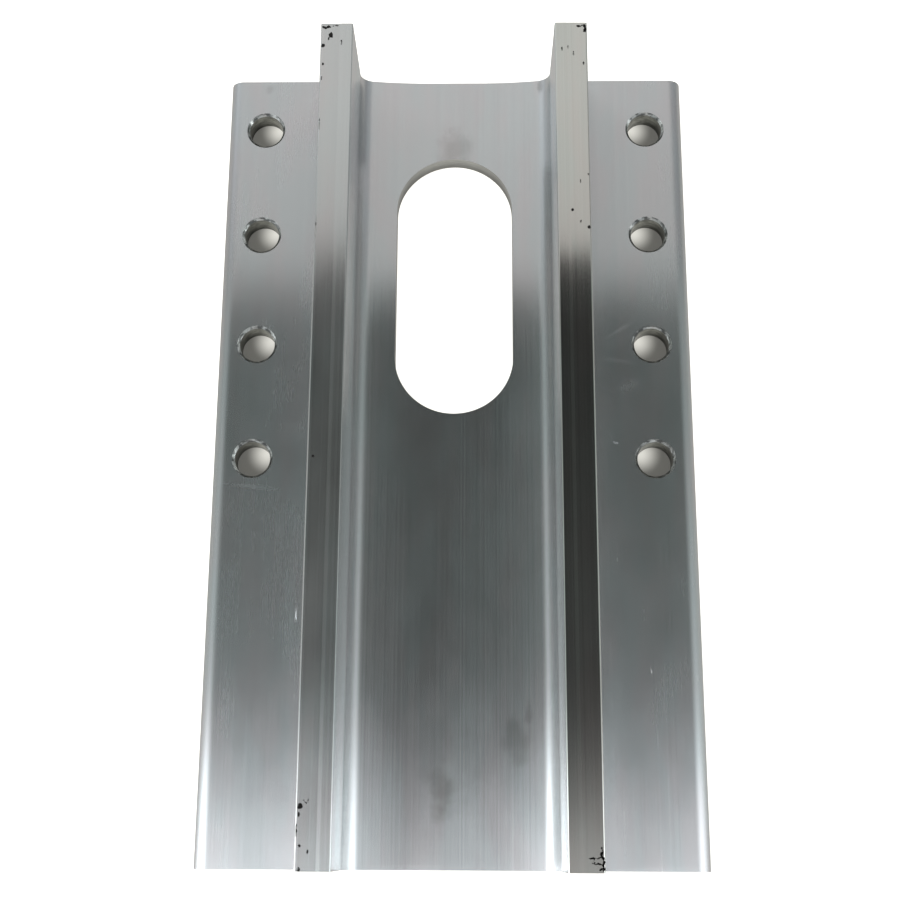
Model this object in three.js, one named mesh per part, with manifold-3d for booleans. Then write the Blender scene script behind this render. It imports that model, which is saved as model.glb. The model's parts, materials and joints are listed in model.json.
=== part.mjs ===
// A ribbed channel plate, cut from one aluminium extrusion. A flat plate carries two upright ribs along its
// length. The web between the ribs has a round-ended slot, and each flange outside them has a row of bolt holes.
//
// Millimetres, +Z up. The section lies in X and Z, and the length runs along Y. The underside is at z = 0 and
// the origin is at its middle. The slot and the holes are towards the +Y end.

import * as THREE from "three";
import { mergeVertices } from "three/addons/utils/BufferGeometryUtils.js";
import Module from "manifold-3d";

const INCH = 25.4;

// The plate.
const LENGTH = 257;
const WIDTH = 6 * INCH;
const FLANGE_THICKNESS = 7.4;
const WEB_THICKNESS = 6;
const EDGE_RADIUS = 4.4; // the upper corner of each long edge
const FOOT_RADIUS = 1.2; // the lower corner of each long edge

// The ribs.
const HEIGHT = 43.3; // from the underside to the rib tops
const CHANNEL_WIDTH = 2.5 * INCH; // between the ribs' inner faces
const RIB_THICKNESS = 10.15;
const RIB_CORNER_RADIUS = 0.5;
const FILLET_RADIUS = 5; // from the web up to a rib's inner face
const WEB_RISE_ANGLE = (8.5 * Math.PI) / 180; // how steeply the web meets the fillets
const LEVEL_WEB_HALF_WIDTH = 8; // the middle of the web is level, then it rises gently to the fillets

// The slot through the web.
const SLOT_WIDTH = 1.5 * INCH;
const SLOT_LENGTH = 3.5 * INCH;
const SLOT_END_INSET = 28.4; // from the plate's end to the slot's

// The bolt holes through the flanges.
const HOLE_RADIUS = 5.6;
const HOLE_CHAMFER = 0.8;
const HOLE_COUNT = 4; // in each flange
const HOLE_PITCH = 1.5 * INCH;
const HOLE_ROW_SPACING = 5 * INCH;
const FIRST_HOLE_INSET = 18.2; // from the plate's end to the first hole's centre

// How finely the round stretches are divided.
const ARC_STEPS = 8;
const SLOT_STEPS = 24;
const HOLE_STEPS = 48;
const CUT_MARGIN = 1; // how far a cutter runs past the faces that it cuts

const wasm = await Module();
wasm.setup();

// A closed three.js geometry as a manifold-3d solid.
function solidFrom(geometry) {
  const bare = geometry.clone();
  bare.deleteAttribute("normal");
  bare.deleteAttribute("uv");
  const merged = mergeVertices(bare, 1e-4);
  const mesh = new wasm.Mesh({
    numProp: 3,
    vertProperties: merged.attributes.position.array,
    triVerts: new Uint32Array(merged.index.array),
  });
  return new wasm.Manifold(mesh);
}

// A manifold-3d solid as a three.js geometry, flat shaded.
function geometryFrom(solid) {
  const mesh = solid.getMesh();
  const indexed = new THREE.BufferGeometry();
  indexed.setAttribute("position", new THREE.BufferAttribute(mesh.vertProperties, 3));
  indexed.setIndex(new THREE.BufferAttribute(mesh.triVerts, 1));
  const faceted = indexed.toNonIndexed();
  faceted.computeVertexNormals();
  return faceted;
}

// The +X half of the section's outline, from the middle of the underside round to the middle of the web.
function halfOutline() {
  const edge = WIDTH / 2;
  const inner = CHANNEL_WIDTH / 2;
  const outer = inner + RIB_THICKNESS;
  const filletX = inner - FILLET_RADIUS;
  const toe = filletX + FILLET_RADIUS * Math.sin(WEB_RISE_ANGLE);
  const bendStart = (LEVEL_WEB_HALF_WIDTH + toe) / 2;
  const rise = Math.tan(WEB_RISE_ANGLE) * (toe - bendStart);
  const filletZ = WEB_THICKNESS + rise + FILLET_RADIUS * Math.cos(WEB_RISE_ANGLE);
  const path = new THREE.Path();
  path.moveTo(0, 0);
  path.lineTo(edge - FOOT_RADIUS, 0);
  path.absarc(edge - FOOT_RADIUS, FOOT_RADIUS, FOOT_RADIUS, -Math.PI / 2, 0);
  path.absarc(edge - EDGE_RADIUS, FLANGE_THICKNESS - EDGE_RADIUS, EDGE_RADIUS, 0, Math.PI / 2);
  path.lineTo(outer, FLANGE_THICKNESS);
  path.absarc(outer - RIB_CORNER_RADIUS, HEIGHT - RIB_CORNER_RADIUS, RIB_CORNER_RADIUS, 0, Math.PI / 2);
  path.absarc(inner + RIB_CORNER_RADIUS, HEIGHT - RIB_CORNER_RADIUS, RIB_CORNER_RADIUS, Math.PI / 2, Math.PI);
  path.absarc(filletX, filletZ, FILLET_RADIUS, 0, WEB_RISE_ANGLE - Math.PI / 2, true);
  path.quadraticCurveTo(bendStart, WEB_THICKNESS, LEVEL_WEB_HALF_WIDTH, WEB_THICKNESS);
  return path.getPoints(ARC_STEPS);
}

// The whole section, extruded along Y about the origin.
function extrusion() {
  const right = halfOutline();
  const left = right.slice(1).reverse().map((p) => new THREE.Vector2(-p.x, p.y));
  const section = new THREE.Shape([...right, ...left]);
  const bar = new THREE.ExtrudeGeometry(section, { depth: LENGTH, bevelEnabled: false, steps: 1 });
  bar.rotateX(Math.PI / 2);
  bar.translate(0, LENGTH / 2, 0);
  return solidFrom(bar);
}

// A round-ended cutter for the slot, standing through the web.
function slotCutter() {
  const radius = SLOT_WIDTH / 2;
  const reach = SLOT_LENGTH / 2 - radius;
  const outline = new THREE.Shape();
  outline.absarc(0, reach, radius, 0, Math.PI);
  outline.absarc(0, -reach, radius, Math.PI, 2 * Math.PI);
  outline.closePath();
  const depth = FLANGE_THICKNESS + 2 * CUT_MARGIN;
  const cutter = new THREE.ExtrudeGeometry(outline, { depth, bevelEnabled: false, curveSegments: SLOT_STEPS });
  cutter.translate(0, LENGTH / 2 - SLOT_END_INSET - SLOT_LENGTH / 2, -CUT_MARGIN);
  return solidFrom(cutter);
}

// A drill with a chamfering shoulder at the flange's upper face, standing at x, y.
function holeCutter(x, y) {
  const mouth = HOLE_RADIUS + HOLE_CHAMFER;
  const profile = [
    new THREE.Vector2(0, -CUT_MARGIN),
    new THREE.Vector2(HOLE_RADIUS, -CUT_MARGIN),
    new THREE.Vector2(HOLE_RADIUS, FLANGE_THICKNESS - HOLE_CHAMFER),
    new THREE.Vector2(mouth + CUT_MARGIN, FLANGE_THICKNESS + CUT_MARGIN),
    new THREE.Vector2(0, FLANGE_THICKNESS + CUT_MARGIN),
  ];
  const cutter = new THREE.LatheGeometry(profile, HOLE_STEPS);
  cutter.rotateX(Math.PI / 2);
  cutter.translate(x, y, 0);
  return solidFrom(cutter);
}

function ribbedPlate() {
  let solid = extrusion().subtract(slotCutter());
  for (const side of [-1, 1]) {
    for (let i = 0; i < HOLE_COUNT; i += 1) {
      const y = LENGTH / 2 - FIRST_HOLE_INSET - i * HOLE_PITCH;
      solid = solid.subtract(holeCutter((side * HOLE_ROW_SPACING) / 2, y));
    }
  }
  const material = new THREE.MeshStandardMaterial({ color: 0xb6b8b8, roughness: 0.34, metalness: 1 });
  const mesh = new THREE.Mesh(geometryFrom(solid), material);
  mesh.name = "ribbed_plate";
  return mesh;
}

const part = new THREE.Group();
part.add(ribbedPlate());

export default part;
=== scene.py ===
"""A ribbed channel plate of extruded aluminium, lying ribs up on white paper under soft studio light.

Metres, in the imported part's frame: the section lies in X and Z, the length runs along Y, and the underside is
at z = 0. The slot and the holes are towards the far end, +Y.
"""

import json
import math
import random

import bmesh
import bpy
import numpy as np
from mathutils import Matrix, Vector, noise

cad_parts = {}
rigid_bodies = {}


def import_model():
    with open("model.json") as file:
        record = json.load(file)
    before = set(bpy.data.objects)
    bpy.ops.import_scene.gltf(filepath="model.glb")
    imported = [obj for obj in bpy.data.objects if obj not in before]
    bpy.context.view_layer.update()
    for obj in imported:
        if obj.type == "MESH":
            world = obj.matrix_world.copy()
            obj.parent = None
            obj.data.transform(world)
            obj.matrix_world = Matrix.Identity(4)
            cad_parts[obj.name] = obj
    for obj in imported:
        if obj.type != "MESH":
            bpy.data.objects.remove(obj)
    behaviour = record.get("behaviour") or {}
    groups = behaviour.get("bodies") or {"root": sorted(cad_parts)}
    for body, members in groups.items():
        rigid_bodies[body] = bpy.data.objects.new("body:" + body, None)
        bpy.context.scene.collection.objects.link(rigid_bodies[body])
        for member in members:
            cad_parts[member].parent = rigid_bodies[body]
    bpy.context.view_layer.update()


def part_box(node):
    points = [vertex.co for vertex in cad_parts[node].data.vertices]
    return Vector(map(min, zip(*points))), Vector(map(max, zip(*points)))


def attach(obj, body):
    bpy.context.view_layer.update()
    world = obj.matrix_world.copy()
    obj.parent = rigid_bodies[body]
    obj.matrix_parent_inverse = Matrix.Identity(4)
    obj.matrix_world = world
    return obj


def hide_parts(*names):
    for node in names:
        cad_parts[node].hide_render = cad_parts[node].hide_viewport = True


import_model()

# ---------------------------------------------------------------- sizes

MM = 0.001
INCH = 25.4 * MM

_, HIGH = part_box("ribbed_plate")
HALF_WIDTH = HIGH.x
HALF_LENGTH = HIGH.y
HEIGHT = HIGH.z

FLANGE_TOP = 7.4 * MM
WEB_TOP = 6 * MM
EDGE_RADIUS = 4.4 * MM
FOOT_RADIUS = 1.2 * MM
RIB_INNER = 1.25 * INCH
RIB_OUTER = RIB_INNER + 10.15 * MM
RIB_CORNER_RADIUS = 0.5 * MM
FILLET_RADIUS = 5 * MM
WEB_RISE_ANGLE = math.radians(8.5)  # how steeply the web meets the fillets
LEVEL_WEB = 8 * MM  # half the width of the web's level middle

SLOT_RADIUS = 0.75 * INCH
SLOT_REACH = 1 * INCH  # from the slot's middle to the centres of its round ends
SLOT_END_INSET = 28.4 * MM  # from the plate's end to the slot's
SLOT_MIDDLE = HALF_LENGTH - SLOT_END_INSET - SLOT_RADIUS - SLOT_REACH

HOLE_RADIUS = 5.6 * MM
HOLE_CHAMFER = 0.8 * MM
HOLE_X = 2.5 * INCH
HOLE_PITCH = 1.5 * INCH
HOLE_COUNT = 4  # in each flange
FIRST_HOLE_Y = HALF_LENGTH - 18.2 * MM
HOLE_CENTRES = [(side * HOLE_X, FIRST_HOLE_Y - i * HOLE_PITCH) for side in (-1, 1) for i in range(HOLE_COUNT)]

# Detail that the section carries along its whole length.
OUTLINE_STEP = 0.55 * MM
ARC_STEP = math.radians(7)
BEND_STEPS = 34
DIE_LINE_DEPTH = 0.005 * MM
DEEP_LINE_DEPTH = 0.02 * MM
DEEP_LINE_SHARE = 0.06
RIB_STEP = 0.05 * MM  # the outer part of each rib's top is a touch lower
RIB_STEP_PLACE = 3.9 * MM  # from the rib's inner face
ROWS = 44
SAG_DEPTH = 0.015 * MM  # how far the long faces wander from straight
SAG_WIDTH, SAG_LENGTH = 30 * MM, 50 * MM  # the size of those wanders
SAG_SEED = 7
DIE_SEED = 11

SHARP_ANGLE = math.radians(28)

# Pits and chips in the rib tops, in millimetres: x, y, half width, half length, depth.
PITS = [
    (-38.6, 124.4, 0.75, 0.95, 0.9),
    (-39.3, 123.2, 0.3, 0.6, 0.4),
    (-41.0, 120.7, 0.65, 0.7, 0.8),
    (-35.3, 121.9, 0.3, 0.9, 0.4),
    (-40.9, 114.2, 0.4, 0.5, 0.5),
    (-41.2, 109.4, 0.2, 0.9, 0.3),
    (-41.4, 93.3, 0.22, 2.2, 0.4),
    (-41.5, 58.3, 0.22, 2.8, 0.4),
    (-40.1, -12.9, 0.35, 0.4, 0.5),
    (-40.6, -111.4, 0.75, 0.8, 0.9),
    (-40.9, -113.6, 0.35, 0.6, 0.5),
    (-41.4, -117.5, 0.25, 1.8, 0.4),
    (-40.4, -121.8, 0.4, 0.4, 0.5),
    (-38.2, -123.3, 0.3, 0.6, 0.4),
    (-40.5, -127.9, 0.5, 0.6, 0.6),
    (36.3, 64.4, 0.45, 0.5, 0.6),
    (38.8, 60.6, 0.3, 0.5, 0.4),
    (41.2, 58.7, 0.5, 0.6, 0.6),
    (38.9, 73.9, 0.2, 0.7, 0.3),
    (41.3, 76.2, 0.25, 0.4, 0.3),
    (33.9, 119.2, 0.3, 0.8, 0.3),
    (35.8, 119.9, 0.25, 0.7, 0.3),
    (37.5, 117.6, 0.25, 0.9, 0.3),
    (40.6, 114.2, 0.3, 0.6, 0.3),
]

# Cracks, each a chain of chips in millimetres: half width, depth, then the points that it passes.
CRACKS = [
    (0.38, 0.8, [(-41.2, 127.3), (-40.3, 126.9), (-39.4, 127.4), (-38.6, 127.0)]),
    (0.22, 0.5, [(-38.0, 127.6), (-37.0, 127.8), (-36.2, 127.6)]),
    (0.2, 0.4, [(-39.6, -109.8), (-38.9, -110.6), (-38.5, -110.2), (-38.3, -109.2)]),
    (0.36, 1.0, [(38.9, 127.3), (39.7, 127.1), (40.4, 127.5), (41.2, 127.3)]),
    (0.42, 1.0, [(41.0, 127.6), (41.4, 126.4), (41.1, 125.5), (40.5, 125.2)]),
    (0.34, 1.0, [(40.9, -121.9), (41.2, -123.0), (40.6, -123.7), (41.4, -124.6)]),
    (0.42, 1.0, [(41.3, -124.6), (41.5, -125.6), (41.2, -126.4), (41.5, -127.4), (41.0, -128.1)]),
    (0.26, 0.8, [(40.9, -124.2), (39.8, -124.7), (38.9, -124.5), (37.9, -124.7), (37.1, -124.5)]),
    (0.24, 0.8, [(41.1, -126.4), (39.9, -126.0), (39.2, -126.2), (38.4, -125.9), (37.9, -126.1)]),
    (0.2, 0.6, [(38.9, -124.6), (38.7, -125.4), (39.2, -126.1)]),
    (0.28, 0.8, [(41.2, -127.2), (40.4, -127.6), (39.9, -127.9)]),
]
CHAIN_STEP = 0.4 * MM
CHAIN_GIRTH = (0.45, 1.3)  # the range of its chips' widths, as shares of the crack's
CHAIN_SEED = 5
CHIP_ROUGHNESS = 0.45
CHIP_LUMPS = 1.7  # how many lumps a chip has across it
SEED_SPREAD = 50  # chips in a crack take their noise from places up to this far apart

# Nicks in the flanges, like the pits.
NICKS = [
    (51.4, 1.1, 0.7, 0.3, 0.3),
    (50.6, 1.5, 0.3, 0.25, 0.2),
    (-47.9, -55.0, 0.25, 0.9, 0.15),
    (60.2, -71.0, 0.2, 0.8, 0.12),
]

# How finely the cutters are divided.
HOLE_STEPS = 96
SLOT_END_STEPS = 48
OVERSHOOT = 1 * MM  # how far a cutter runs past the faces that it cuts


# ---------------------------------------------------------------- the section

def straight(points, start, end, step=OUTLINE_STEP):
    """Adds the points of a straight line, without its start."""
    count = max(1, round(math.dist(start, end) / step))
    for i in range(1, count + 1):
        t = i / count
        points.append((start[0] + (end[0] - start[0]) * t, start[1] + (end[1] - start[1]) * t))


def turn(points, centre, radius, start, end):
    """Adds the points of an arc between two angles in degrees, without its start."""
    a, b = math.radians(start), math.radians(end)
    count = max(2, round(abs(b - a) / ARC_STEP))
    for i in range(1, count + 1):
        angle = a + (b - a) * i / count
        points.append((centre[0] + radius * math.cos(angle), centre[1] + radius * math.sin(angle)))


def bend(points, start, middle, end):
    """Adds the points of a parabola that starts towards middle and arrives from it."""
    for i in range(1, BEND_STEPS + 1):
        t = i / BEND_STEPS
        u = 1 - t
        points.append(tuple(u * u * s + 2 * u * t * m + t * t * e for s, m, e in zip(start, middle, end)))


def half_outline():
    """The +X half of the section, from the middle of the underside round to the middle of the web."""
    corner = RIB_CORNER_RADIUS
    ledge = HEIGHT - RIB_STEP
    fillet_x = RIB_INNER - FILLET_RADIUS
    toe = fillet_x + FILLET_RADIUS * math.sin(WEB_RISE_ANGLE)
    bend_middle = (LEVEL_WEB + toe) / 2
    toe_z = WEB_TOP + math.tan(WEB_RISE_ANGLE) * (toe - bend_middle)
    fillet_z = toe_z + FILLET_RADIUS * math.cos(WEB_RISE_ANGLE)
    points = [(0, 0)]
    straight(points, points[-1], (HALF_WIDTH - FOOT_RADIUS, 0), 4 * OUTLINE_STEP)
    turn(points, (HALF_WIDTH - FOOT_RADIUS, FOOT_RADIUS), FOOT_RADIUS, -90, 0)
    straight(points, points[-1], (HALF_WIDTH, FLANGE_TOP - EDGE_RADIUS))
    turn(points, (HALF_WIDTH - EDGE_RADIUS, FLANGE_TOP - EDGE_RADIUS), EDGE_RADIUS, 0, 90)
    straight(points, points[-1], (RIB_OUTER, FLANGE_TOP))
    straight(points, points[-1], (RIB_OUTER, ledge - corner), 2 * OUTLINE_STEP)
    turn(points, (RIB_OUTER - corner, ledge - corner), corner, 0, 90)
    straight(points, points[-1], (RIB_INNER + RIB_STEP_PLACE, ledge))
    straight(points, points[-1], (RIB_INNER + RIB_STEP_PLACE - OUTLINE_STEP, HEIGHT))
    straight(points, points[-1], (RIB_INNER + corner, HEIGHT))
    turn(points, (RIB_INNER + corner, HEIGHT - corner), corner, 90, 180)
    straight(points, points[-1], (RIB_INNER, fillet_z), 2 * OUTLINE_STEP)
    turn(points, (fillet_x, fillet_z), FILLET_RADIUS, 0, math.degrees(WEB_RISE_ANGLE) - 90)
    bend(points, points[-1], (bend_middle, WEB_TOP), (LEVEL_WEB, WEB_TOP))
    straight(points, points[-1], (0, WEB_TOP))
    return points


def section():
    """The whole outline as an array of (x, z), anticlockwise, with the die's fine lines pressed into it."""
    right = half_outline()
    left = [(-x, z) for x, z in reversed(right[1:-1])]
    outline = np.array(right + left)
    along = np.roll(outline, -1, axis=0) - np.roll(outline, 1, axis=0)
    along /= np.linalg.norm(along, axis=1)[:, None]
    inward = np.stack([-along[:, 1], along[:, 0]], axis=1)
    draw = random.Random(DIE_SEED)
    depths = []
    for _ in outline:
        depth = DIE_LINE_DEPTH * draw.random()
        if draw.random() < DEEP_LINE_SHARE:
            depth += DEEP_LINE_DEPTH * draw.random()
        depths.append(depth)
    return outline + inward * np.array(depths)[:, None]


def extruded_bar():
    """The section swept along the length, its long faces wandering very slightly from straight."""
    outline = section()
    count = len(outline)
    vertices = []
    for y in np.linspace(-HALF_LENGTH, HALF_LENGTH, ROWS):
        for x, z in outline:
            wander = (1 + noise.noise((x / SAG_WIDTH, y / SAG_LENGTH, SAG_SEED))) / 2
            vertices.append((x, y, z - SAG_DEPTH * wander if z > WEB_TOP / 2 else z))
    faces = []
    for row in range(ROWS - 1):
        here, there = row * count, (row + 1) * count
        for i in range(count):
            j = (i + 1) % count
            faces.append((here + j, here + i, there + i, there + j))
    faces.append(tuple(range(count)))
    faces.append(tuple(reversed(range((ROWS - 1) * count, ROWS * count))))
    mesh = bpy.data.meshes.new("extruded_plate")
    mesh.from_pydata(vertices, [], faces)
    mesh.validate()
    return mesh


# ---------------------------------------------------------------- what is cut out of it

def object_of(mesh):
    """A new object in the scene that shows mesh."""
    thing = bpy.data.objects.new(mesh.name, mesh)
    bpy.context.scene.collection.objects.link(thing)
    return thing


def ring_cutter(name, rings):
    """A closed cutter from rings of points that have the same count, lowest first."""
    mesh = bpy.data.meshes.new(name)
    count = len(rings[0])
    vertices = [p for ring in rings for p in ring]
    faces = [tuple(reversed(range(count)))]
    for level in range(len(rings) - 1):
        here, there = level * count, (level + 1) * count
        for i in range(count):
            j = (i + 1) % count
            faces.append((here + i, here + j, there + j, there + i))
    top = (len(rings) - 1) * count
    faces.append(tuple(range(top, top + count)))
    mesh.from_pydata(vertices, [], faces)
    return mesh


def hole_cutter(x, y):
    """A drill with a chamfering shoulder at the flange's upper face."""
    mouth = HOLE_RADIUS + HOLE_CHAMFER
    levels = [
        (-OVERSHOOT, HOLE_RADIUS),
        (FLANGE_TOP - HOLE_CHAMFER, HOLE_RADIUS),
        (FLANGE_TOP + OVERSHOOT, mouth + OVERSHOOT),
    ]
    angles = [2 * math.pi * i / HOLE_STEPS for i in range(HOLE_STEPS)]
    rings = [[(x + r * math.cos(a), y + r * math.sin(a), z) for a in angles] for z, r in levels]
    return ring_cutter("hole_cutter", rings)


def slot_cutter():
    """A round-ended cutter through the web."""
    outline = []
    for end, first in ((1, 0), (-1, math.pi)):
        for i in range(SLOT_END_STEPS + 1):
            angle = first + math.pi * i / SLOT_END_STEPS
            y = SLOT_MIDDLE + end * SLOT_REACH + SLOT_RADIUS * math.sin(angle)
            outline.append((SLOT_RADIUS * math.cos(angle), y))
    levels = (-OVERSHOOT, FLANGE_TOP + OVERSHOOT)
    return ring_cutter("slot_cutter", [[(x, y, z) for x, y in outline] for z in levels])


def chip_cutter(place, size, seed):
    """A rough lump, from a ball whose points are pushed about by noise."""
    shape = bmesh.new()
    bmesh.ops.create_icosphere(shape, subdivisions=2, radius=1)
    for vertex in shape.verts:
        push = 1 + CHIP_ROUGHNESS * noise.noise(vertex.co * CHIP_LUMPS + Vector((seed, 3 * seed, 0)))
        vertex.co = [p + s * push * c for p, s, c in zip(place, size, vertex.co)]
    mesh = bpy.data.meshes.new("chip_cutter")
    shape.to_mesh(mesh)
    shape.free()
    return mesh


def pit_cutters():
    """A cutter for each pit in the rib tops and each nick in the flanges."""
    cutters = []
    for level, marks in ((HEIGHT, PITS), (FLANGE_TOP, NICKS)):
        for number, (x, y, half_width, half_length, depth) in enumerate(marks):
            size = (half_width * MM, half_length * MM, depth * MM)
            cutters.append(chip_cutter((x * MM, y * MM, level), size, number))
    return cutters


def crack_cutters():
    """Cutters strung along each crack in the rib tops."""
    cutters = []
    draw = random.Random(CHAIN_SEED)
    for half_width, depth, path in CRACKS:
        for (x0, y0), (x1, y1) in zip(path, path[1:]):
            count = max(1, round(math.dist((x0, y0), (x1, y1)) * MM / CHAIN_STEP))
            for i in range(count):
                t = i / count
                place = ((x0 + (x1 - x0) * t) * MM, (y0 + (y1 - y0) * t) * MM, HEIGHT)
                girth = half_width * MM * draw.uniform(*CHAIN_GIRTH)
                seed = draw.uniform(0, SEED_SPREAD)
                cutters.append(chip_cutter(place, (girth, girth, depth * MM), seed))
    return cutters


def cut(body, cutters):
    """Takes every cutter out of body, and removes the cutters."""
    group = bpy.data.collections.new("cutters")
    bpy.context.scene.collection.children.link(group)
    for mesh in cutters:
        group.objects.link(bpy.data.objects.new(mesh.name, mesh))
    step = body.modifiers.new("cut", "BOOLEAN")
    step.operation = "DIFFERENCE"
    step.solver = "MANIFOLD"
    step.operand_type = "COLLECTION"
    step.collection = group
    graph = bpy.context.evaluated_depsgraph_get()
    result = bpy.data.meshes.new_from_object(body.evaluated_get(graph))
    body.modifiers.clear()
    body.data = result
    for cutter in list(group.objects):
        bpy.data.objects.remove(cutter)
    bpy.data.collections.remove(group)


# ---------------------------------------------------------------- how the metal looks

# The metal's grain, which runs along the plate. Lines and bands have a width, and blotches a size each way.
LINE_WIDTH = 0.55 * MM
BAND_WIDTH = 3.5 * MM
BLOTCH_SIZE = (11 * MM, 30 * MM, 11 * MM)
TINT_SIZE = (8 * MM, 34 * MM, 8 * MM)
DIE_SLANT = 0.83  # how fast the die lines change up the section, as a share of how fast they do across it

# How strong it is.
FLANGE_LINES = 0.5  # the fine lines in the flanges, as a share of the web's
LINE_BUMP = 0.002 * MM
LINE_GLOSS = 4  # how much a line changes the roughness, for its change of tone
BLOTCH_TONE = 0.022
BLOTCH_GLOSS = 0.08
TINT_RANGE = (0.35, 0.65)
WARM = (1.0, 0.982, 0.978)
COOL = (0.965, 1.0, 0.995)
LEFT_DULLNESS, RIGHT_DULLNESS = 0.04, 0.035  # how much rougher the flanges are than the web

# Marks left by a saw or a drill.
MARKS_RANGE = (0.4, 0.62)
MARKS_GLOSS = 0.08
MARKS_BUMP = 0.03 * MM

# The walls of the slot and the holes have painted shade in their colour: darker at their feet, and where they
# face sideways.
WALL_RISE = 5.5 * MM
WALL_SIDES = (0.3, 0.85)
WALL_SIDE_SHADE = 0.72

# The insides of pits.
PIT_GRAIN = [MM / 3] * 3
PIT_DARK = (0.012, 0.011, 0.010)
PIT_LIGHT = (0.07, 0.065, 0.06)

# Stains in the web and rubbed places in the flanges: x, y, half width and half length in millimetres, turn
# in degrees, and how much darker the metal is there. Rubbed places are lighter, and duller too.
STAINS = [
    (0, 103.2, 7, 9.5, 0, 0.19),
    (28.7, 126.5, 1.2, 3.5, 0, 0.3),
    (-3.2, -107.5, 4, 10, 0, 0.27),
    (0, -98, 11, 16, 0, 0.1),
    (19.5, -91, 4.8, 8.5, 0, 0.25),
    (23, -84, 1.5, 5, 0, 0.15),
    (-63, 125.7, 2, 2, 0, 0.1),
    (-51.7, 4.1, 5, 6, 15, -0.05),
    (-57, 21, 9, 8, 30, -0.03),
    (-63.6, -13.1, 10, 0.7, -6, -0.1),
    (53.2, 38.9, 7, 1, 31, -0.1),
    (52, 35, 6, 3, 31, -0.04),
    (52.5, 28.5, 7, 1.2, -10, -0.07),
    (56, 20.2, 5, 2.2, 20, -0.07),
]
STAIN_TINT = (-0.97, -1.0, -1.06)  # what a stain takes from red, green and blue
STAIN_RIM = (0.7, 1.7)  # a stain fades between these, where 1 is its edge and noise adds half on average
STAIN_WOBBLE = [MM / 0.26] * 3  # the size of the bumps in its edge
RUBBED_DULLNESS = 0.2


# ---------------------------------------------------------------- materials

def node(tree, kind, inputs=(), **attributes):
    """A new node with its attributes set, and its inputs set or linked, by name or number."""
    made = tree.nodes.new(kind)
    for name, value in attributes.items():
        setattr(made, name, value)
    for key, value in dict(inputs).items():
        if isinstance(value, bpy.types.NodeSocket):
            tree.links.new(value, made.inputs[key])
        else:
            made.inputs[key].default_value = value
    return made


def new_material(name):
    """A new material, its node tree and its shader."""
    material = bpy.data.materials.new(name)
    material.use_nodes = True
    tree = material.node_tree
    return material, tree, tree.nodes["Principled BSDF"]


def object_place(tree):
    """Where a point is, in metres in the part's frame."""
    return node(tree, "ShaderNodeTexCoord").outputs["Object"]


def mixed(tree, factor, low, high):
    """A colour between two, each a tuple of red, green and blue. The node's colour inputs are its 6 and 7."""
    made = node(tree, "ShaderNodeMix", data_type="RGBA")
    tree.links.new(factor, made.inputs["Factor"])
    made.inputs[6].default_value = [*low, 1]
    made.inputs[7].default_value = [*high, 1]
    return made.outputs[2]


def calculate(tree, operation, *values):
    """The result of a Math node."""
    return node(tree, "ShaderNodeMath", inputs=dict(enumerate(values)), operation=operation).outputs[0]


def length_of(tree, vector):
    """How long a vector is."""
    return node(tree, "ShaderNodeVectorMath", inputs={0: vector}, operation="LENGTH").outputs["Value"]


def scaled(tree, vector, factor):
    """A vector or a colour times the number in a socket."""
    inputs = {0: vector, "Scale": factor}
    return node(tree, "ShaderNodeVectorMath", inputs=inputs, operation="SCALE").outputs[0]


def smooth_step(tree, value, start, end, low=0.0, high=1.0):
    """Goes smoothly from low to high as value goes from start to end."""
    inputs = {"Value": value, "From Min": start, "From Max": end, "To Min": low, "To Max": high}
    made = node(tree, "ShaderNodeMapRange", inputs=inputs, interpolation_type="SMOOTHSTEP")
    return made.outputs["Result"]


def grain(tree, place, size, detail):
    """Noise from 0 to 1 whose grains have that size along X, Y and Z."""
    stretched = node(tree, "ShaderNodeMapping", inputs={"Vector": place, "Scale": [1 / s for s in size]})
    inputs = {"Vector": stretched.outputs[0], "Scale": 1.0, "Detail": detail}
    return node(tree, "ShaderNodeTexNoise", inputs=inputs).outputs["Fac"]


def die_lines(tree, place, across):
    """Noise that never changes along Y, as a die leaves it. across is the size of its grains."""
    inputs = {0: place, 1: (1 / across, 0, DIE_SLANT / across)}
    distance = node(tree, "ShaderNodeVectorMath", inputs=inputs, operation="DOT_PRODUCT").outputs["Value"]
    inputs = {"W": distance, "Scale": 1.0, "Detail": 3.0}
    return node(tree, "ShaderNodeTexNoise", inputs=inputs, noise_dimensions="1D").outputs["Fac"]


def about_zero(tree, value, amount):
    """A noise value from 0 to 1 as a signed change of up to about amount."""
    inputs = {"Value": value, "From Min": 0.25, "From Max": 0.75, "To Min": -amount, "To Max": amount}
    return node(tree, "ShaderNodeMapRange", inputs=inputs).outputs["Result"]


def stain_level(tree, place):
    """How much darker the metal is, stain by stain. It is below zero where the metal is rubbed."""
    wobble = grain(tree, place, STAIN_WOBBLE, 3.0)
    total = 0.0
    for x, y, half_width, half_length, degrees, darker in STAINS:
        inputs = {"Vector": place, "Location": (x * MM, y * MM, 0), "Rotation": (0, 0, math.radians(degrees))}
        inputs["Scale"] = (half_width * MM, half_length * MM, 1)
        shifted = node(tree, "ShaderNodeMapping", inputs=inputs, vector_type="TEXTURE")
        rough_reach = calculate(tree, "ADD", length_of(tree, shifted.outputs[0]), wobble)
        total = calculate(tree, "ADD", total, smooth_step(tree, rough_reach, *STAIN_RIM, darker, 0.0))
    return total


def stained(tree, colour, level):
    """colour with its stains and rubbed places."""
    inputs = {0: colour, 1: scaled(tree, STAIN_TINT, level), 2: colour}
    return node(tree, "ShaderNodeVectorMath", inputs=inputs, operation="MULTIPLY_ADD").outputs[0]


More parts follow.
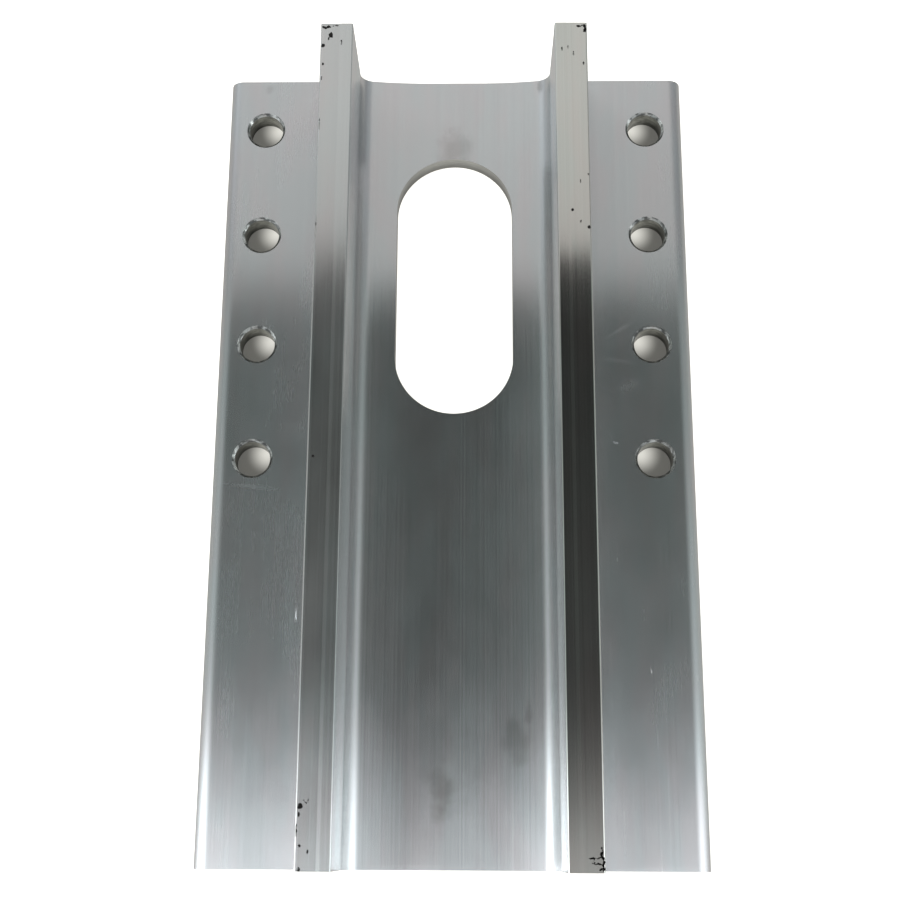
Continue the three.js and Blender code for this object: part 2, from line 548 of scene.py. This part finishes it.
def metal_colour(tree, place, colour, fine, blotches, line_contrast, band_contrast):
    """The metal's colour, changed by its lines, bands, blotches and tint."""
    bands = about_zero(tree, die_lines(tree, place, BAND_WIDTH), band_contrast)
    tone = calculate(tree, "MULTIPLY_ADD", fine, line_contrast, bands)
    tone = calculate(tree, "ADD", tone, about_zero(tree, blotches, BLOTCH_TONE))
    tone = calculate(tree, "ADD", tone, 1.0)
    warm, cool = ([t * c for t, c in zip(cast, colour)] for cast in (WARM, COOL))
    tint = smooth_step(tree, grain(tree, place, TINT_SIZE, 4.0), *TINT_RANGE)
    return scaled(tree, mixed(tree, tint, warm, cool), tone)


def metal_gloss(tree, fine, blotches, roughness, line_contrast):
    """The metal's roughness, changed by its lines and blotches."""
    clouds = about_zero(tree, blotches, BLOTCH_GLOSS * roughness)
    gloss = calculate(tree, "MULTIPLY_ADD", fine, LINE_GLOSS * line_contrast * roughness, clouds)
    return calculate(tree, "ADD", gloss, roughness)


def skin_gloss(tree, x, stains, gloss):
    """The skin's roughness, which is more in the flanges and in the rubbed places."""
    gloss = calculate(tree, "ADD", gloss, smooth_step(tree, x, -RIB_INNER, -RIB_OUTER, 0, LEFT_DULLNESS))
    gloss = calculate(tree, "ADD", gloss, smooth_step(tree, x, RIB_INNER, RIB_OUTER, 0, RIGHT_DULLNESS))
    rubbed = calculate(tree, "MINIMUM", stains, 0.0)
    return calculate(tree, "MULTIPLY_ADD", rubbed, -RUBBED_DULLNESS, gloss)


def metal(name, colour, roughness, anisotropy, line_contrast, band_contrast, is_skin=False):
    """Aluminium whose fine lines run along Y, with bands and blotches in its tone, tint and gloss."""
    material, tree, shader = new_material(name)
    place = object_place(tree)
    lines = die_lines(tree, place, LINE_WIDTH)
    blotches = grain(tree, place, BLOTCH_SIZE, 4.0)
    fine = about_zero(tree, lines, 1.0)
    if is_skin:
        x = node(tree, "ShaderNodeSeparateXYZ", inputs={0: place}).outputs["X"]
        off_centre = calculate(tree, "ABSOLUTE", x)
        strength = smooth_step(tree, off_centre, RIB_INNER, RIB_OUTER, 1.0, FLANGE_LINES)
        fine = calculate(tree, "MULTIPLY", fine, strength)
    toned = metal_colour(tree, place, colour, fine, blotches, line_contrast, band_contrast)
    gloss = metal_gloss(tree, fine, blotches, roughness, line_contrast)
    if is_skin:
        stains = stain_level(tree, place)
        toned = stained(tree, toned, stains)
        gloss = skin_gloss(tree, x, stains, gloss)
    tree.links.new(toned, shader.inputs["Base Color"])
    tree.links.new(gloss, shader.inputs["Roughness"])

    bump = node(tree, "ShaderNodeBump", inputs={"Height": lines, "Strength": 0.5, "Distance": LINE_BUMP})
    tree.links.new(bump.outputs[0], shader.inputs["Normal"])
    normal = node(tree, "ShaderNodeNewGeometry").outputs["Normal"]
    across = node(tree, "ShaderNodeVectorMath", inputs={0: normal, 1: (0, 1, 0)}, operation="CROSS_PRODUCT")
    tree.links.new(across.outputs[0], shader.inputs["Tangent"])
    shader.inputs["Metallic"].default_value = 1
    shader.inputs["Anisotropic"].default_value = anisotropy
    return material


def painted_wall_shade(tree, colour, place, foot):
    """The colour of a bore's or a slot's wall with painted shade, darker at its foot and where it faces
    sideways.
    """
    up = node(tree, "ShaderNodeSeparateXYZ", inputs={0: place}).outputs["Z"]
    normal = node(tree, "ShaderNodeNewGeometry").outputs["Normal"]
    sideways = node(tree, "ShaderNodeSeparateXYZ", inputs={0: normal}).outputs["X"]
    sideways = calculate(tree, "ABSOLUTE", sideways)
    rise = smooth_step(tree, up, 0, WALL_RISE, foot, 1.0)
    turned = smooth_step(tree, sideways, *WALL_SIDES, 1.0, WALL_SIDE_SHADE)
    return scaled(tree, colour, calculate(tree, "MULTIPLY", rise, turned))


def cut_metal(name, colour, roughness, contrast, marks_size, foot=None):
    """Metal left by a saw or a drill, with marks whose size along X, Y and Z is in millimetres.

    foot is how bright a wall's painted shade leaves it at its foot, as a share of its top, if it is one.
    """
    material, tree, shader = new_material(name)
    place = object_place(tree)
    marks = smooth_step(tree, grain(tree, place, [m * MM for m in marks_size], 3.0), *MARKS_RANGE)
    shade = mixed(tree, marks, [c * (1 - contrast) for c in colour], colour)
    # painted shade in the wall's colour, darker at its foot and where it faces sideways
    if foot is not None:
        shade = painted_wall_shade(tree, shade, place, foot)
    tree.links.new(shade, shader.inputs["Base Color"])
    gloss = calculate(tree, "MULTIPLY_ADD", marks, -MARKS_GLOSS, roughness + MARKS_GLOSS / 2)
    tree.links.new(gloss, shader.inputs["Roughness"])
    inputs = {"Height": marks, "Strength": 0.6, "Distance": MARKS_BUMP}
    tree.links.new(node(tree, "ShaderNodeBump", inputs=inputs).outputs[0], shader.inputs["Normal"])
    shader.inputs["Metallic"].default_value = 1
    return material


def pit_metal():
    """The dark, near-black inside of a pit."""
    material, tree, shader = new_material("pit")
    place = object_place(tree)
    shade = mixed(tree, grain(tree, place, PIT_GRAIN, 2.0), PIT_DARK, PIT_LIGHT)
    tree.links.new(shade, shader.inputs["Base Color"])
    shader.inputs["Roughness"].default_value = 0.8
    return material


SKIN, LEFT_TOP, RIGHT_TOP, SAWN, BORED, BEVELLED, MILLED, PITTED = range(8)


def plate_materials():
    """The plate's materials, in the order of the names above."""
    return [
        metal("extruded_skin", (0.79, 0.79, 0.79), 0.225, 1.0, 0.016, 0.015, is_skin=True),
        metal("left_rib_top", (0.79, 0.785, 0.77), 0.23, 0.95, 0.02, 0.025),
        metal("right_rib_top", (0.78, 0.77, 0.72), 0.135, 0.9, 0.02, 0.025),
        cut_metal("sawn_end", (0.72, 0.72, 0.71), 0.42, 0.12, (9, 1000, 0.35)),
        cut_metal("bored_wall", (0.55, 0.56, 0.52), 0.36, 0.35, (2, 2, 0.8), foot=0.3),
        cut_metal("bevel", (0.92, 0.93, 0.88), 0.3, 0.75, (2, 2, 1)),
        cut_metal("milled_wall", (0.76, 0.76, 0.71), 0.4, 0.12, (4, 4, 0.4), foot=0.5),
        pit_metal(),
    ]


# ---------------------------------------------------------------- the plate

TOUCH = 0.05 * MM
TOP_DEPTH = 2 * MM  # deeper than any pit in a rib's top
LEVEL_NORMAL = 0.97  # a face whose normal points up by more than this is level
BEVEL_NORMAL = 0.3
END_NORMAL = 0.9
SQUARE_NORMAL = 0.99  # a face whose normal points along the plate by more than this is square to it
CHIP_NORMAL = 0.12  # a rib's top never leans along the plate by more than this, but a chip does


def sharpen(mesh):
    """Shades the mesh smooth, with its real corners sharp."""
    shape = bmesh.new()
    shape.from_mesh(mesh)
    for face in shape.faces:
        face.smooth = True
    for edge in shape.edges:
        edge.smooth = edge.is_manifold and edge.calc_face_angle(0) < SHARP_ANGLE
    shape.to_mesh(mesh)
    shape.free()


def in_hole(x, y):
    """Whether a point in plan lies in a bolt hole, its chamfer included."""
    return min(math.dist((x, y), centre) for centre in HOLE_CENTRES) < HOLE_RADIUS + HOLE_CHAMFER + TOUCH


def in_slot(x, y):
    """Whether a point in plan lies in the slot or at its wall."""
    past_end = max(0, abs(y - SLOT_MIDDLE) - SLOT_REACH)
    return math.hypot(x, past_end) < SLOT_RADIUS + TOUCH


def on_rib_top(centre):
    """Whether a point lies in a rib's top or in a pit there."""
    return centre.z > HEIGHT - TOP_DEPTH and RIB_INNER + TOUCH < abs(centre.x) < RIB_OUTER - TOUCH


def finish_of(centre, normal):
    """Which material a face has, from where it is and where it faces."""
    lean = abs(normal.y)
    if on_rib_top(centre) and lean < SQUARE_NORMAL:
        is_chip = lean > CHIP_NORMAL and centre.z < HEIGHT - 2 * RIB_STEP
        if is_chip or centre.z < HEIGHT - RIB_CORNER_RADIUS:
            return PITTED
        return LEFT_TOP if centre.x < 0 else RIGHT_TOP
    if lean > END_NORMAL and abs(centre.y) > HALF_LENGTH - TOUCH:
        return SAWN
    if abs(normal.z) < LEVEL_NORMAL and in_hole(centre.x, centre.y):
        return BEVELLED if normal.z > BEVEL_NORMAL else BORED
    if abs(normal.z) < LEVEL_NORMAL and in_slot(centre.x, centre.y):
        return MILLED
    return SKIN


def extruded_plate():
    """The whole plate: a bar with its slot, holes and pits cut out, and a finish for every face."""
    plate = object_of(extruded_bar())
    holes = [hole_cutter(x, y) for x, y in HOLE_CENTRES]
    cut(plate, [slot_cutter()] + holes + pit_cutters() + crack_cutters())
    plate.name = plate.data.name = "extruded_plate"
    sharpen(plate.data)
    plate.data.materials.clear()
    for material in plate_materials():
        plate.data.materials.append(material)
    for face in plate.data.polygons:
        face.material_index = finish_of(face.center, face.normal)
    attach(plate, "root")
    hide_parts("ribbed_plate")
    return plate


# ---------------------------------------------------------------- camera, floor and light

CAMERA_PLACE = Vector((6.8, -122.3, 444.6)) * MM
CAMERA_TILT = math.radians(15.51)
CAMERA_YAW = math.radians(3.72)
CAMERA_ROLL = math.radians(-3.54)
FOCAL_LENGTH = 57.59


def add_camera():
    """The camera, where the photograph was taken from."""
    camera = bpy.data.objects.new("camera", bpy.data.cameras.new("camera"))
    camera.data.lens = FOCAL_LENGTH
    camera.data.sensor_width = 36
    camera.data.clip_start = 0.01
    turned = Matrix.Rotation(CAMERA_YAW, 4, "Z") @ Matrix.Rotation(CAMERA_TILT, 4, "X")
    camera.matrix_world = Matrix.Translation(CAMERA_PLACE) @ turned @ Matrix.Rotation(CAMERA_ROLL, 4, "Z")
    bpy.context.scene.collection.objects.link(camera)
    bpy.context.scene.camera = camera


FLOOR_HALF = 30
FLOOR_DROP = 0.05 * MM
PAPER = (0.9, 0.89, 0.87, 1)
# The paper under the bolt holes takes this colour as painted shade.
PAINTED_PAPER_SHADE = (0.17, 0.165, 0.14, 1)
GLOW = (1, 0.985, 0.91, 1)

# The paper under each bolt hole has a painted pool of light that fades to painted shade, and lies as a disc on
# the floor.
SPOT_RADIUS = 7.5 * MM
SPOT_LEVEL, SPOT_EDGE = 0.7, 0.1
SPOT_SHIFT = (4 * MM, 3.6 * MM)  # towards the plate's middle, and along the plate
DISC_RADIUS = 2.2 * HOLE_RADIUS
DISC_STEPS = 32


def paper(name, colour):
    """Paper that glows, so that no shadow shows in it."""
    material, tree, shader = new_material(name)
    shader.inputs["Base Color"].default_value = colour
    shader.inputs["Roughness"].default_value = 0.9
    shader.inputs["Emission Color"].default_value = GLOW
    shader.inputs["Emission Strength"].default_value = 1
    material.cycles.emission_sampling = "NONE"
    return material


def paper_with_painted_light():
    """Paper under a bolt hole with painted shade in its colour, and a painted pool of light whose glow fades
    from the middle of its disc.
    """
    material = paper("paper_with_painted_light", PAINTED_PAPER_SHADE)
    tree = material.node_tree
    reach = length_of(tree, object_place(tree))
    # painted pool of light, fading from a bright spot to dim paper
    level = smooth_step(tree, reach, 0, SPOT_RADIUS, SPOT_LEVEL, SPOT_EDGE)
    tree.links.new(level, tree.nodes["Principled BSDF"].inputs["Emission Strength"])
    return material


def flat_piece(name, outline, place, material):
    """A level piece of the stage, of one face."""
    mesh = bpy.data.meshes.new(name)
    mesh.from_pydata([(x, y, 0) for x, y in outline], [], [tuple(range(len(outline)))])
    mesh.materials.append(material)
    piece = object_of(mesh)
    piece.location = place
    return piece


def add_floor():
    """White paper, bright enough to lose its shadows, with paper of painted light and shade showing through the
    bolt holes.
    """
    corners = [(x * FLOOR_HALF, y * FLOOR_HALF) for x, y in ((-1, -1), (1, -1), (1, 1), (-1, 1))]
    floor = flat_piece("floor", corners, (0, 0, -FLOOR_DROP), paper("paper", PAPER))
    floor.visible_glossy = False  # metal sees the studio's own, greyer floor instead
    shaded = paper_with_painted_light()
    angles = [2 * math.pi * i / DISC_STEPS for i in range(DISC_STEPS)]
    disc = [(DISC_RADIUS * math.cos(a), DISC_RADIUS * math.sin(a)) for a in angles]
    for x, y in HOLE_CENTRES:
        place = (x - math.copysign(SPOT_SHIFT[0], x), y + SPOT_SHIFT[1], -FLOOR_DROP / 2)
        flat_piece("paper_under_hole", disc, place, shaded)


# A wide softbox hangs beyond the far end. Its near edge is what the plate's reflection darkens at.
SOFTBOX_EDGE = 0.423
SOFTBOX_HEIGHT = 0.909
SOFTBOX_HALF_WIDTH = 0.55
SOFTBOX_DEPTH = 2.4
SOFTBOX_POWER = 4.15


def add_softbox():
    """The softbox beyond the plate's far end, facing down."""
    light = bpy.data.lights.new("softbox", "AREA")
    light.shape = "RECTANGLE"
    light.size = 2 * SOFTBOX_HALF_WIDTH
    light.size_y = SOFTBOX_DEPTH
    light.energy = SOFTBOX_POWER
    softbox = bpy.data.objects.new("softbox", light)
    softbox.location = (0, SOFTBOX_EDGE + SOFTBOX_DEPTH / 2, SOFTBOX_HEIGHT)
    softbox.visible_camera = False
    bpy.context.scene.collection.objects.link(softbox)


# The rest of the studio, by the direction that light comes from. Its reach is how far that direction points
# along the plate, and its side angle is the turn from overhead towards a side.
SIDE_ANGLE, SIDE_SOFTNESS = math.radians(27), math.radians(11)
LOW_ANGLES = (math.radians(50), math.radians(85))  # between these the side lamps fade
LOW_SHARE = 0.48
OVERHEAD = [
    (-0.02, 0.4), (0.01, 0.26), (0.035, 0.14), (0.055, 0.085), (0.08, 0.055), (0.12, 0.036), (0.2, 0.028),
    (0.36, 0.018), (0.42, 0.02), (0.5, 0.1),
]
SKIRT = [(0.02, 0), (0.06, 0.12), (0.2, 0.15), (0.36, 0.14), (0.41, 0)]
SKIRT_ANGLES = (math.radians(8), math.radians(22))
LEAN = math.radians(8)  # how much further out the side lamps lie where the reach is long
LEAN_REACH = (0.03, 0.12)
RIGHT_LEAN = math.radians(-3)  # the right lamp's, where the reach is short
LEFT_LAMP = [
    (-1, 0.4), (-0.3, 0.9), (-0.13, 3.2), (-0.05, 4.6), (0.02, 3.0), (0.06, 1.35), (0.1, 0.6), (0.2, 0.5),
    (0.3, 0.36), (0.375, 0.3), (0.4, 0.6), (0.6, 1.1),
]
RIGHT_LAMP = [
    (-0.3, 0.5), (-0.12, 1.4), (-0.04, 2.3), (0.02, 2.1), (0.06, 0.9), (0.1, 0.6), (0.2, 0.42), (0.3, 0.27),
    (0.375, 0.22), (0.4, 0.33), (0.6, 0.5),
]
FLOOR_LEVEL = 0.5
OVERHEAD_COLOUR = (0.985, 0.975, 1.0, 1)
SKIRT_COLOUR = (0.84, 1.0, 0.93, 1)
LAMP_COLOUR = (0.9, 0.95, 1.0, 1)
FLOOR_COLOUR = (1.0, 0.99, 0.96, 1)


def by_reach(tree, reach, stops):
    """Joined straight lines through stops, each a reach and a level."""
    top = max(level for _, level in stops)
    made = node(tree, "ShaderNodeValToRGB", inputs={"Fac": calculate(tree, "MULTIPLY_ADD", reach, 0.5, 0.5)})
    elements = made.color_ramp.elements
    while len(elements) < len(stops):
        elements.new(0.5)
    for element, (place, level) in zip(elements, stops):
        element.position = (place + 1) / 2
        element.color = [level / top] * 3 + [1]
    return calculate(tree, "MULTIPLY", made.outputs["Color"], top)


def side_shares(tree, reach, angle):
    """How much of each direction belongs to the left lamp, and how much to the right one."""
    left_lean = smooth_step(tree, reach, *LEAN_REACH, 0, LEAN)
    right_lean = smooth_step(tree, reach, *LEAN_REACH, RIGHT_LEAN, LEAN)
    start, end = SIDE_ANGLE - SIDE_SOFTNESS, SIDE_ANGLE + SIDE_SOFTNESS
    left = smooth_step(tree, calculate(tree, "ADD", angle, left_lean), -start, -end)
    right = smooth_step(tree, calculate(tree, "SUBTRACT", angle, right_lean), start, end)
    return left, right


def studio_levels(tree, reach, angle):
    """How bright the ceiling, its off-centre skirt and the side lamps are in each direction."""
    left, right = side_shares(tree, reach, angle)
    middle = calculate(tree, "SUBTRACT", 1.0, calculate(tree, "ADD", left, right))
    ceiling = calculate(tree, "MULTIPLY", middle, by_reach(tree, reach, OVERHEAD))
    off_centre = calculate(tree, "ABSOLUTE", angle)
    skirt_share = smooth_step(tree, off_centre, *SKIRT_ANGLES)
    skirt = calculate(tree, "MULTIPLY", skirt_share, by_reach(tree, reach, SKIRT))
    left = calculate(tree, "MULTIPLY", left, by_reach(tree, reach, LEFT_LAMP))
    lamps = calculate(tree, "MULTIPLY_ADD", right, by_reach(tree, reach, RIGHT_LAMP), left)
    lamps = calculate(tree, "MULTIPLY", lamps, smooth_step(tree, off_centre, *LOW_ANGLES, 1.0, LOW_SHARE))
    return ceiling, skirt, lamps


def add_world():
    """The studio round the plate, lit by direction alone."""
    world = bpy.data.worlds.new("studio")
    bpy.context.scene.world = world
    world.use_nodes = True
    tree = world.node_tree
    direction = node(tree, "ShaderNodeTexCoord").outputs["Generated"]
    direction = node(tree, "ShaderNodeSeparateXYZ", inputs={0: direction})
    angle = calculate(tree, "ARCTAN2", direction.outputs["X"], direction.outputs["Z"])
    levels = studio_levels(tree, direction.outputs["Y"], angle)

    below = calculate(tree, "LESS_THAN", direction.outputs["Z"], 0.0)
    above = calculate(tree, "SUBTRACT", 1.0, below)
    inputs = {"Color": FLOOR_COLOUR, "Strength": calculate(tree, "MULTIPLY", below, FLOOR_LEVEL)}
    total = node(tree, "ShaderNodeBackground", inputs=inputs).outputs[0]
    for level, colour in zip(levels, (OVERHEAD_COLOUR, SKIRT_COLOUR, LAMP_COLOUR)):
        inputs = {"Color": colour, "Strength": calculate(tree, "MULTIPLY", above, level)}
        light = node(tree, "ShaderNodeBackground", inputs=inputs)
        total = node(tree, "ShaderNodeAddShader", inputs={0: total, 1: light.outputs[0]}).outputs[0]
    tree.links.new(total, tree.nodes["World Output"].inputs["Surface"])


# ---------------------------------------------------------------- the scene

extruded_plate()
add_floor()
add_camera()
add_softbox()
add_world()
bpy.context.scene.view_settings.view_transform = "Standard"
